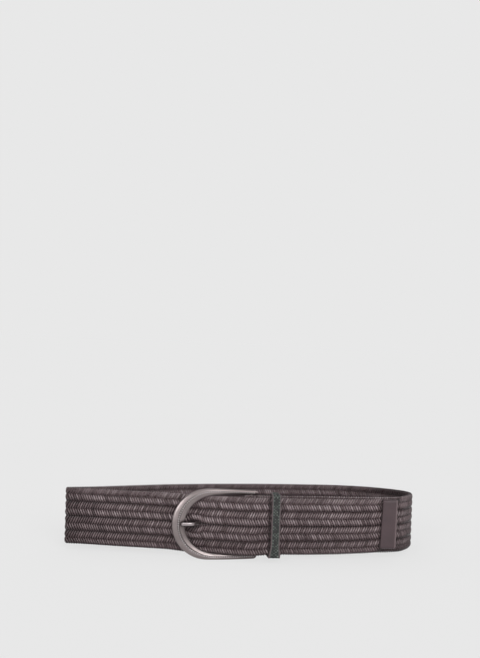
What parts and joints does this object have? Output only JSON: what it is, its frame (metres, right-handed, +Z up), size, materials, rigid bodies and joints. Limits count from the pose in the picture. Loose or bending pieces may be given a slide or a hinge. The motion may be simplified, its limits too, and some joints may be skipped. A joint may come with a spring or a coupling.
{
  "type": "braided waist belt",
  "caption": "Flat braided waist belt fastened in a closed loop, with a horseshoe buckle, prong, woven keeper loop and leather tip cap.",
  "frame": {"origin": "centre of the bounding box in plan, at floor level", "axes": "+X along the front from the left bend to the right end, front faces -Y, +Z up, belt standing on its lower edges"},
  "size_m": [0.3226, 0.1272, 0.0629],
  "materials": {
    "braid_cord": "waxed cord, satin",
    "buckle_metal": "satin gunmetal",
    "prong_metal": "satin",
    "keeper_weave": "fine weave, matt",
    "cap_leather": "smooth, semi-matt"
  },
  "bodies": {
    "root": {"strap": "braid_cord", "buckle_frame": "buckle_metal", "prong": "prong_metal", "keeper": "keeper_weave", "tip_cap": "cap_leather"}
  },
  "joints": []
}
